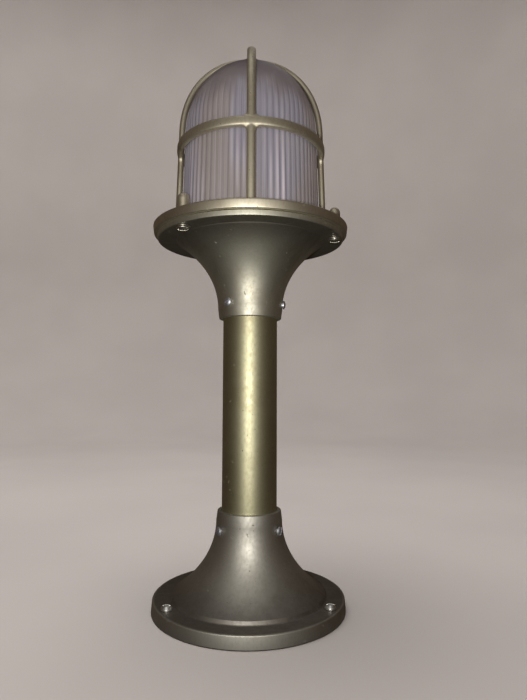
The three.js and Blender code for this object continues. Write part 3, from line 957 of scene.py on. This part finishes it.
class BOLLARD_OT_gaskets(Operator):
    """Rubber gaskets under and over the glass's foot"""

    bl_idname = "bollard.gaskets"
    bl_label = "Gaskets"

    def execute(self, context):
        material = moulded("gasket_rubber", (0.022, 0.022, 0.022), roughness=0.72, grain=0.05)
        guard_bore = context.scene.bollard_guard.bore
        bores = {"lower_glass_gasket": (56 * MM, "post"), "upper_glass_gasket": (guard_bore, "glass")}
        for node, (bore, body) in bores.items():
            low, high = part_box(node)
            name = node.replace("gasket", "seal")
            piece = ring(name, bore, high.x, low.z, high.z, edge=0.55 * MM, sides=128)
            finished(piece, material, "rubber", body, node)
        return {"FINISHED"}


# ---------- guard ----------
def bar_section(depth, width, power=2.15, sides=24):
    """(outward, across) points of a bar's section, a squarish oval."""
    points = []
    for i in range(sides):
        cosine = math.cos(math.tau * i / sides)
        sine = math.sin(math.tau * i / sides)
        out = math.copysign(abs(cosine) ** (2 / power), cosine) * depth / 2
        across = math.copysign(abs(sine) ** (2 / power), sine) * width / 2
        points.append((out, across))
    return points


def hoop(sizes, turn, foot, leg_steps=10, dome_steps=40):
    """A bar up from the ring, over the crown and down the other side."""
    middle = sizes.cage_radius - sizes.bar_depth / 2
    crown = GUARD_HIGH.z - sizes.bar_depth / 2
    rise = sizes.spring_z - foot
    shares = [i / leg_steps for i in range(leg_steps)]
    leg = [(middle + sizes.lean * rise * (1 - share), foot + rise * share) for share in shares]
    half = leg + dome(middle, sizes.spring_z, crown, sizes.squareness, dome_steps)
    path = half + [(-r, z) for r, z in reversed(half[:-1])]
    across = around(1, turn + math.pi / 2, 0)
    rings = []
    for i, (r, z) in enumerate(path):
        r0, z0 = path[max(0, i - 1)]
        r1, z1 = path[min(len(path) - 1, i + 1)]
        along = Vector((r1 - r0, z1 - z0)).normalized()
        out = around(along.y, turn, -along.x)
        centre = around(r, turn, z)
        section = bar_section(sizes.bar_depth, sizes.bar_width)
        rings.append([centre + out * u + across * v for u, v in section])
    return lofted("hoop", rings)


def web(place, radius, thickness, steps=6):
    """A hollow-cornered web that fills the corner at (0, 0) of the plane that place maps from."""
    overlap = -1.2 * MM
    arc = []
    for k in range(steps + 1):
        t = math.pi / 2 * k / steps
        arc.append((radius * (1 - math.sin(t)), radius * (1 - math.cos(t))))
    outline = [(overlap, overlap), (radius, overlap), *arc, (overlap, radius)]
    rings = [[place(a, b, c) for a, b in outline] for c in (-thickness / 2, thickness / 2)]
    return lofted("web", rings)


def corner_webs(sizes, ring_top):
    """Webs where each bar crosses the belt, stands on the ring and meets the others at the crown."""
    half = sizes.bar_width / 2
    thickness = sizes.bar_depth * 0.62

    def bar_middle(level):
        return sizes.cage_radius + sizes.lean * (sizes.spring_z - level) - sizes.bar_depth / 2

    webs = []
    for quarter in range(4):
        turn = quarter * math.pi / 2
        for side in (-1, 1):
            belt_half = sizes.belt_width / 2
            levels = ((sizes.belt_z + belt_half, 1), (sizes.belt_z - belt_half, -1), (ring_top, 1))
            for level, way in levels:
                middle = bar_middle(level)

                def place(a, b, c, turn=turn, side=side, level=level, way=way, middle=middle):
                    return around(middle + c, turn + side * (half + a) / middle, level + way * b)

                webs.append(web(place, sizes.fillet, thickness))

        foot = bar_middle(ring_top)

        def at_foot(a, b, c, turn=turn, foot=foot):
            return around(foot + sizes.bar_depth / 2 + a, turn + c / foot, ring_top + b)

        webs.append(web(at_foot, sizes.fillet, sizes.bar_width * 0.8))

        def at_crown(a, b, c, turn=turn):
            corner = around(half + a, turn, 0) + around(half + b, turn + math.pi / 2, 0)
            return corner + Vector((0, 0, GUARD_HIGH.z - sizes.bar_depth / 2 + c))

        webs.append(web(at_crown, sizes.fillet, thickness))
    return webs


def boss(sizes, node, ring_top):
    """A round-topped boss that takes a guard screw, with a fillet at its foot."""
    r = sizes.boss_radius
    skirt = 1.6 * MM
    steps = 6
    points = [(0, ring_top - 2 * MM), (r + skirt, ring_top - 2 * MM), (r + skirt, ring_top)]
    for k in range(1, steps + 1):
        t = math.pi / 2 * k / steps
        points.append((r + skirt * (1 - math.sin(t)), ring_top + skirt * (1 - math.cos(t))))
    for k in range(steps + 1):
        t = math.pi / 2 * k / steps
        points.append((r * math.cos(t), sizes.boss_top - r + r * math.sin(t)))
    points[-1] = (0, sizes.boss_top)
    centre = centre_of(node)
    return moved(turned("boss", points, sides=40), (centre.x, centre.y, 0))


def joined(name, parts):
    """Several closed meshes in one object."""
    mesh = bmesh.new()
    for part in parts:
        mesh.from_mesh(part.data)
        bpy.data.objects.remove(part)
    return placed(name, mesh)


class BOLLARD_OT_guard(Operator):
    """Cast guard: two hoops and a belt that flow together on a turned ring"""

    bl_idname = "bollard.guard"
    bl_label = "Guard"

    def execute(self, context):
        sizes = context.scene.bollard_guard
        castings = context.scene.bollard_castings
        finishes = context.scene.bollard_finishes
        ring_top = GUARD_LOW.z + sizes.ring_height
        middle = sizes.belt_radius - sizes.bar_depth / 2
        section = bar_section(sizes.bar_depth, sizes.belt_width, power=3.6)
        belt = turned("belt", [(middle + u, sizes.belt_z + v) for u, v in section], sides=160)
        hoops = [hoop(sizes, turn, ring_top - 2 * MM) for turn in (0, math.pi / 2)]
        bosses = [boss(sizes, node, ring_top) for node in numbered("guard_screw")]
        piece = joined("cage_guard", [belt, *hoops, *corner_webs(sizes, ring_top), *bosses])
        remesh = piece.modifiers.new("flow", "REMESH")
        remesh.mode = "VOXEL"
        remesh.voxel_size = sizes.grain
        soften = piece.modifiers.new("soften", "SMOOTH")
        soften.factor = 0.5
        soften.iterations = 7
        settle(piece)
        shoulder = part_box("upper_glass_gasket")[1].z + GAP
        outline = [
            (castings.seat_radius, GUARD_LOW.z, 0.4 * MM),
            (GUARD_HIGH.x - sizes.draft, GUARD_LOW.z, 1.1 * MM),
            (GUARD_HIGH.x, ring_top, 1.2 * MM),
            (sizes.bore, ring_top, 0.5 * MM),
            (sizes.bore, shoulder, 0.3 * MM),
            (castings.seat_radius, shoulder, 0.3 * MM),
        ]
        combine(piece, [cylinder(sizes.bore, ring_top - 4 * MM, ring_top + 12 * MM, sides=160)])
        combine(piece, [turned("ring", rounded(outline), sides=160)], "UNION")
        low = GUARD_LOW.z - MM
        threads = upright_holes(numbered("guard_screw"), 2.7 * MM, low, sizes.boss_top - sizes.boss_radius)
        combine(piece, threads)
        material = brass(
            "guard_brass",
            finishes.guard,
            finishes.guard_tarnish,
            age=0.2,
            rings=0.03,
            grain=0.4,
            dull=(ring_top, ring_top + 14 * MM),
        )
        finished(piece, material, "cast_brass", "guard", "guard_casting", 50)
        return {"FINISHED"}


# ---------- lamp and its holder ----------
class BOLLARD_OT_lamp(Operator):
    """Screw-in lamp: contact tip, threaded cap, housing and opal globe"""

    bl_idname = "bollard.lamp"
    bl_label = "Lamp"

    def execute(self, context):
        white = moulded("opal_white", (0.86, 0.85, 0.82), roughness=0.35, grain=0.01)
        nickel = plated("cap_plating", (0.66, 0.64, 0.58))
        black = moulded("tip_insulator", (0.02, 0.02, 0.022), roughness=0.3, grain=0.01)
        tip_low, tip_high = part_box("bulb_tip")
        tip = [
            (0, tip_low.z),
            (3 * MM, tip_low.z, 0.8 * MM),
            (4.5 * MM, tip_low.z + 1.0 * MM, 0.8 * MM),
            (8.4 * MM, tip_high.z, 0.3 * MM),
            (0, tip_high.z),
        ]
        piece = turned("lamp_tip", rounded(tip, closed=False), sides=40)
        finished(piece, black, "nylon", "bulb", "bulb_tip")
        low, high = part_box("bulb_cap")
        pitch = 3.6 * MM

        def thread(radius, z, turn):
            share = min(1, max(0, (z - low.z) / (2 * MM)), max(0, (high.z - 2 * MM - z) / (2 * MM)))
            return radius - 0.55 * MM * share * (1 - math.cos(math.tau * z / pitch - turn)) / 2

        rows = 60
        wall = [(high.x, low.z + (high.z - low.z) * i / rows) for i in range(rows + 1)]
        cap = [(0, low.z), (high.x - 2.4 * MM, low.z), *wall[3:], (0, high.z)]
        piece = turned("lamp_cap", cap, sides=72, shape=thread)
        finished(piece, nickel, "plated_brass", "bulb", "bulb_cap")
        low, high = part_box("bulb_housing")
        housing = [
            (0, low.z),
            (13.6 * MM, low.z, 0.6 * MM),
            (15 * MM, low.z + 6 * MM, 4 * MM),
            (22 * MM, low.z + 18 * MM, 12 * MM),
            (high.x, high.z, 0.6 * MM),
            (0, high.z),
        ]
        piece = turned("lamp_housing", rounded(housing, closed=False, steps=10), sides=96)
        finished(piece, white, "opal_plastic", "bulb", "bulb_housing")
        low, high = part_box("bulb_globe")
        start = -0.3
        rise = (high.z - low.z) / (1 - math.sin(start))
        globe = [(0, low.z), (high.x * math.cos(start) - 0.8 * MM, low.z)]
        for i in range(33):
            t = start + (math.pi / 2 - start) * i / 32
            globe.append((high.x * math.cos(t), low.z + rise * (math.sin(t) - math.sin(start))))
        globe[-1] = (0, high.z)
        piece = turned("lamp_globe", globe, sides=96)
        finished(piece, white, "opal_plastic", "bulb", "bulb_globe")
        return {"FINISHED"}


class BOLLARD_OT_lampholder(Operator):
    """Porcelain lampholder with its threaded sleeve and contact"""

    bl_idname = "bollard.lampholder"
    bl_label = "Lampholder"

    def execute(self, context):
        glaze = moulded("porcelain_glaze", (0.80, 0.78, 0.73), roughness=0.3, grain=0.01, coat=0.6)
        nickel = plated("sleeve_plating", (0.62, 0.56, 0.40))
        low, high = HOLDER_LOW, HOLDER_HIGH
        sleeve_low, sleeve_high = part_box("lampholder_sleeve")
        bore = sleeve_high.x + GAP
        well = sleeve_low.z - GAP
        body = [
            (0, low.z),
            (high.x - 1.5 * MM, low.z, 1 * MM),
            (high.x, low.z + 1.5 * MM, 1 * MM),
            (high.x, low.z + 14 * MM, 0.8 * MM),
            (high.x - 1.2 * MM, low.z + 15.2 * MM, 0.8 * MM),
            (high.x - 1.2 * MM, high.z - 9 * MM, 0.8 * MM),
            (high.x, high.z - 7.8 * MM, 0.8 * MM),
            (high.x, high.z - 5 * MM, 1.5 * MM),
            (high.x - 2 * MM, high.z, 1.2 * MM),
            (bore, high.z, 0.8 * MM),
            (bore, well),
            (6 * MM, well, 0.5 * MM),
            (6 * MM, well - 5 * MM),
            (0, well - 5 * MM),
        ]
        piece = turned("holder_body", rounded(body, closed=False), sides=96)
        finished(piece, glaze, "porcelain", "post", "lampholder_body")
        outer = sleeve_high.x
        inner = outer - 0.9 * MM
        piece = ring("holder_sleeve", inner, outer, sleeve_low.z, sleeve_high.z, edge=0.2 * MM, sides=72)
        finished(piece, nickel, "plated_brass", "post", "lampholder_sleeve")
        low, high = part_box("lampholder_contact")
        contact = [
            (0, low.z),
            (high.x, low.z, 0.3 * MM),
            (high.x, low.z + 1.2 * MM, 0.5 * MM),
            (1.8 * MM, high.z, 0.8 * MM),
            (0, high.z),
        ]
        piece = turned("holder_contact", rounded(contact, closed=False), sides=40)
        finished(piece, nickel, "plated_brass", "post", "lampholder_contact")
        return {"FINISHED"}


class BOLLARD_OT_bracket(Operator):
    """Folded bracket under the lampholder, with its screws and the earth screw"""

    bl_idname = "bollard.bracket"
    bl_label = "Bracket"

    def execute(self, context):
        finishes = context.scene.bollard_finishes
        steel = plated("bracket_steel", finishes.steel, 0.35)
        low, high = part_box("lampholder_bracket")
        sheet = 1.5 * MM
        bend = 1.2 * MM
        right = [
            (22.5 * MM, high.z - sheet, 0.4 * MM),
            (22.5 * MM, low.z, bend),
            (high.x, low.z, 0.3 * MM),
            (high.x, low.z + sheet, 0.3 * MM),
            (24 * MM, low.z + sheet, 0.4 * MM),
            (24 * MM, high.z, bend),
        ]
        left = [(-x, z, radius) for x, z, radius in reversed(right)]
        outline = rounded(right + left)
        rings = [[Vector((x, y, z)) for x, z in outline] for y in (low.y, high.y)]
        piece = lofted("holder_bracket", rings)
        screws = ["bracket_screw_1", "bracket_screw_2"]
        combine(piece, upright_holes(screws, 2.2 * MM, low.z - MM, low.z + 3 * MM))
        finished(piece, steel, "bright_steel", "post", "lampholder_bracket")
        brassy = plated("earth_screw_plating", (0.62, 0.55, 0.36), 0.3)
        rows = [(node, 2.2 * MM, 5.5 * MM, steel, "bright_steel") for node in screws]
        rows.append(("earth_screw", 2.6 * MM, 3.6 * MM, brassy, "plated_brass"))
        for node, height, length, material, slot in rows:
            centre = centre_of(node)
            piece = slotted(
                f"small_{node}",
                head=3.4 * MM,
                height=height,
                shank=1.6 * MM,
                length=length,
                slot=0.9 * MM,
                crown=1.0 * MM,
            )
            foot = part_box(node)[1].z - height
            moved(piece, (centre.x, centre.y, foot), Matrix.Rotation(0.6, 3, "Z"))
            finished(piece, material, slot, "post", node)
        return {"FINISHED"}


class BOLLARD_OT_wiring(Operator):
    """Terminal block, the three leads and the cable gland in the platform"""

    bl_idname = "bollard.wiring"
    bl_label = "Wiring"

    def execute(self, context):
        low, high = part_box("terminal_block")
        centre = (low + high) / 2
        piece = boxed("terminal_body", centre, high - low, 0.8 * MM)
        wells = []
        for x in (-6 * MM, 6 * MM):
            wells.append(moved(cylinder(2 * MM, high.z - 3 * MM, high.z + MM, sides=32), (x, -28 * MM, 0)))
            wells.append(boxed("slot", (x, centre.y, high.z), (0.9 * MM, 20 * MM, 0.8 * MM)))
        wells.append(boxed("slot", (0, centre.y, high.z), (1.6 * MM, 20 * MM, 5 * MM)))
        combine(piece, wells)
        glaze = moulded("terminal_porcelain", (0.78, 0.76, 0.70), roughness=0.4, coat=0.4)
        finished(piece, glaze, "porcelain", "post", "terminal_block")
        top = high.z
        rise = HOLDER_LOW.z + 14 * MM
        routes = {
            "live": (-1, (0.16, 0.055, 0.025), "brown_sleeve"),
            "neutral": (1, (0.025, 0.09, 0.30), "blue_sleeve"),
        }
        for name, (side, tint, slot) in routes.items():
            points = [
                (side * 6 * MM, -33.5 * MM, top + 2 * GAP),
                (side * 6 * MM, -33.7 * MM, rise - 7 * MM),
                (side * 5.6 * MM, -29 * MM, rise - 1 * MM),
                (side * 5 * MM, -HOLDER_HIGH.x - 0.5 * MM, rise),
            ]
            sleeve = moulded(f"{name}_sleeve", tint, roughness=0.5)
            self.lead(f"{name}_wire", points, sleeve, slot, f"{name}_lead")
        platform = context.scene.bollard_castings.platform_z
        points = [
            (-10.4 * MM, -31 * MM, platform + 5 * MM),
            (-16 * MM, -31.5 * MM, platform + 4.6 * MM),
            (-24 * MM, -29 * MM, platform + 3 * MM),
            (-30.4 * MM, -22.4 * MM, platform + 1.8 * MM),
        ]
        striped = self.striped("earth_sleeve", (0.08, 0.28, 0.04), (0.75, 0.62, 0.05))
        self.lead("earth_wire", points, striped, "earth_sleeve", "earth_lead")
        nylon = moulded("gland_nylon", (0.02, 0.02, 0.022), roughness=0.5, grain=0.03)
        dressed(["cable_gland_body", "cable_gland_lock_nut", "cable_gland_cap_nut"], nylon)
        dressed(["cable_gland_seal"], moulded("seal_rubber", (0.03, 0.03, 0.03), roughness=0.75, grain=0.05))
        return {"FINISHED"}

    @staticmethod
    def lead(name, points, material, slot, node):
        """A sleeved wire through points."""
        curve = bpy.data.curves.new(name, "CURVE")
        curve.dimensions = "3D"
        curve.bevel_depth = 1.2 * MM
        curve.bevel_resolution = 5
        curve.resolution_u = 10
        curve.use_fill_caps = True
        spline = curve.splines.new("BEZIER")
        spline.bezier_points.add(len(points) - 1)
        for knot, point in zip(spline.bezier_points, points):
            knot.co = point
            knot.handle_left_type = "AUTO"
            knot.handle_right_type = "AUTO"
        shape = bpy.data.objects.new(name, curve)
        bpy.context.scene.collection.objects.link(shape)
        bpy.context.view_layer.update()
        graph = bpy.context.evaluated_depsgraph_get()
        mesh = bpy.data.meshes.new_from_object(shape.evaluated_get(graph))
        bpy.data.objects.remove(shape)
        piece = bpy.data.objects.new(name, mesh)
        bpy.context.scene.collection.objects.link(piece)
        finished(piece, material, slot, "post", node)

    @staticmethod
    def striped(name, first, second):
        """Two-coloured wire insulation."""
        surface = Surface(name)
        y, z = surface.axes()[1:]
        band = surface.maths("SINE", y * 900 + z * 900).between(-0.1, 0.1)
        fine = surface.noise(2000)
        return surface.finish(
            Base_Color=surface.mix(band, first, second),
            Roughness=0.45 + fine * 0.1,
            Normal=surface.bump(fine, 0.02 * MM, 0.4),
        )


# ---------- stage ----------
def look_from(position, target):
    """The rotation that turns a light or camera at a position towards a target."""
    return (Vector(target) - Vector(position)).to_track_quat("-Z", "Y").to_euler()


class BOLLARD_OT_stage(Operator):
    """Camera, soft light and a plain pale floor that sweeps up into a backdrop"""

    bl_idname = "bollard.stage"
    bl_label = "Stage"

    def execute(self, context):
        scene = context.scene
        settings = scene.bollard_stage
        data = bpy.data.cameras.new("camera")
        data.sensor_width = 36
        data.lens = settings.lens
        data.clip_start = 0.01
        camera = bpy.data.objects.new("camera", data)
        scene.collection.objects.link(camera)
        turn = (
            Matrix.Rotation(settings.pan, 3, "Z")
            @ Matrix.Rotation(settings.tilt, 3, "X")
            @ Matrix.Rotation(settings.roll, 3, "Y")
        )
        level = Matrix.Rotation(math.pi / 2, 3, "X")
        place = Matrix.Translation((0, -settings.distance, settings.height))
        camera.matrix_world = place @ (turn @ level).to_4x4()
        scene.camera = camera

        floor = self.sweep(settings.floor)
        middle = (0, 0, 0.24)
        head = (0, 0, 0.4)
        lights = [
            self.lamp("key", (-0.03, -0.485, 0.19), middle, width=0.05, watts=1.7, tint=(1, 0.985, 0.965)),
            self.lamp("back", (0.45, 0.9, 1.9), middle, width=0.9, watts=1.2, tint=(1, 0.98, 0.96)),
            self.lamp("top", (-0.1, -0.45, 1.5), head, width=0.7, watts=1.5, tint=(1, 0.98, 0.97)),
        ]
        for light in lights:
            self.spare(light, floor)
        behind = (0, 0.3, 0)
        over = self.lamp("overhead", (-0.4, 0.1, 2.6), behind, width=2.4, watts=60, tint=(1, 0.98, 0.96))
        self.keep_to(over, floor)
        self.room(settings)
        scene.view_settings.view_transform = "Standard"
        scene.view_settings.look = "None"
        return {"FINISHED"}

    @staticmethod
    def room(settings):
        """Dim light whose colour changes from the ground up to the ceiling."""
        world = bpy.data.worlds.new("room")
        tree = Tree(world, "Generated")
        up = tree.axes()[2]
        low = tree.mix(up.between(-0.5, 0), tuple(settings.ground), tuple(settings.room))
        whole = tree.mix(up.between(0.5, 0.95), low, tuple(settings.ceiling))
        tree.feed(tree.tree.nodes["Background"].inputs[0], whole)
        bpy.context.scene.world = world

    @staticmethod
    def sweep(tint):
        """A round floor whose edge curves up into a wall."""
        reach = 1.5
        bend = 0.9
        wall_top = 3.2
        outline = [(reach * i / 10, -GAP) for i in range(10)]
        for k in range(17):
            t = math.pi / 2 * k / 16
            outline.append((reach + bend * math.sin(t), bend * (1 - math.cos(t)) - GAP))
        outline.append((reach + bend, wall_top - GAP))
        floor = turned("floor", outline, filled=False)
        floor.data.shade_smooth()
        surface = Surface("pale_floor")
        cloud = surface.noise(3, 3)
        grain = surface.noise(260, 3)
        darker = tuple(0.94 * c for c in tint)
        material = surface.finish(
            Base_Color=surface.mix(cloud.between(0.3, 0.7), tuple(tint), darker),
            Roughness=0.8 + grain * 0.1,
            Normal=surface.bump(grain, 0.05 * MM, 0.3),
        )
        floor.data.materials.append(material)
        floor.visible_glossy = False
        return floor

    @staticmethod
    def lamp(name, position, target, width, watts, tint):
        data = bpy.data.lights.new(name, "AREA")
        data.shape = "DISK"
        data.size = width
        data.energy = watts
        data.color = tint
        light = bpy.data.objects.new(name, data)
        light.location = position
        light.rotation_euler = look_from(position, target)
        light.visible_camera = False
        bpy.context.scene.collection.objects.link(light)
        return light

    @staticmethod
    def spare(light, floor):
        """The light falls on everything but the floor."""
        left_out = bpy.data.collections.new(f"{light.name}_leaves_out")
        left_out.objects.link(floor)
        light.light_linking.receiver_collection = left_out
        left_out.collection_objects[0].light_linking.link_state = "EXCLUDE"

    @staticmethod
    def keep_to(light, floor):
        """The light falls on the floor alone."""
        lit = bpy.data.collections.new(f"{light.name}_falls_on")
        lit.objects.link(floor)
        light.light_linking.receiver_collection = lit


# ---------- panel and registration ----------
STEPS = (
    BOLLARD_OT_stage,
    BOLLARD_OT_base,
    BOLLARD_OT_post,
    BOLLARD_OT_head,
    BOLLARD_OT_base_screws,
    BOLLARD_OT_set_screws,
    BOLLARD_OT_guard_screws,
    BOLLARD_OT_gaskets,
    BOLLARD_OT_lampholder,
    BOLLARD_OT_bracket,
    BOLLARD_OT_wiring,
    BOLLARD_OT_lamp,
    BOLLARD_OT_glass,
    BOLLARD_OT_guard,
)

GROUPS = {
    "bollard_castings": CastingSizes,
    "bollard_guard": GuardSizes,
    "bollard_glass": GlassSizes,
    "bollard_finishes": Finishes,
    "bollard_stage": StageSettings,
}


class BOLLARD_PT_pieces(Panel):
    """Sizes, colours and a button for each piece"""

    bl_idname = "BOLLARD_PT_pieces"
    bl_label = "Bollard Light"
    bl_space_type = "VIEW_3D"
    bl_region_type = "UI"
    bl_category = "Bollard Light"

    def draw(self, context):
        for step in STEPS:
            self.layout.operator(step.bl_idname)
        for name, group in GROUPS.items():
            box = self.layout.box()
            for key in group.__annotations__:
                box.prop(getattr(context.scene, name), key)


def register():
    for group in GROUPS.values():
        bpy.utils.register_class(group)
    for step in (*STEPS, BOLLARD_PT_pieces):
        bpy.utils.register_class(step)
    for name, group in GROUPS.items():
        setattr(bpy.types.Scene, name, PointerProperty(type=group))


def unregister():
    for name in GROUPS:
        delattr(bpy.types.Scene, name)
    for step in (BOLLARD_PT_pieces, *reversed(STEPS), *GROUPS.values()):
        bpy.utils.unregister_class(step)


def main():
    register()
    for step in STEPS:
        group, name = step.bl_idname.split(".")
        getattr(getattr(bpy.ops, group), name)()


if __name__ == "__main__":
    main()
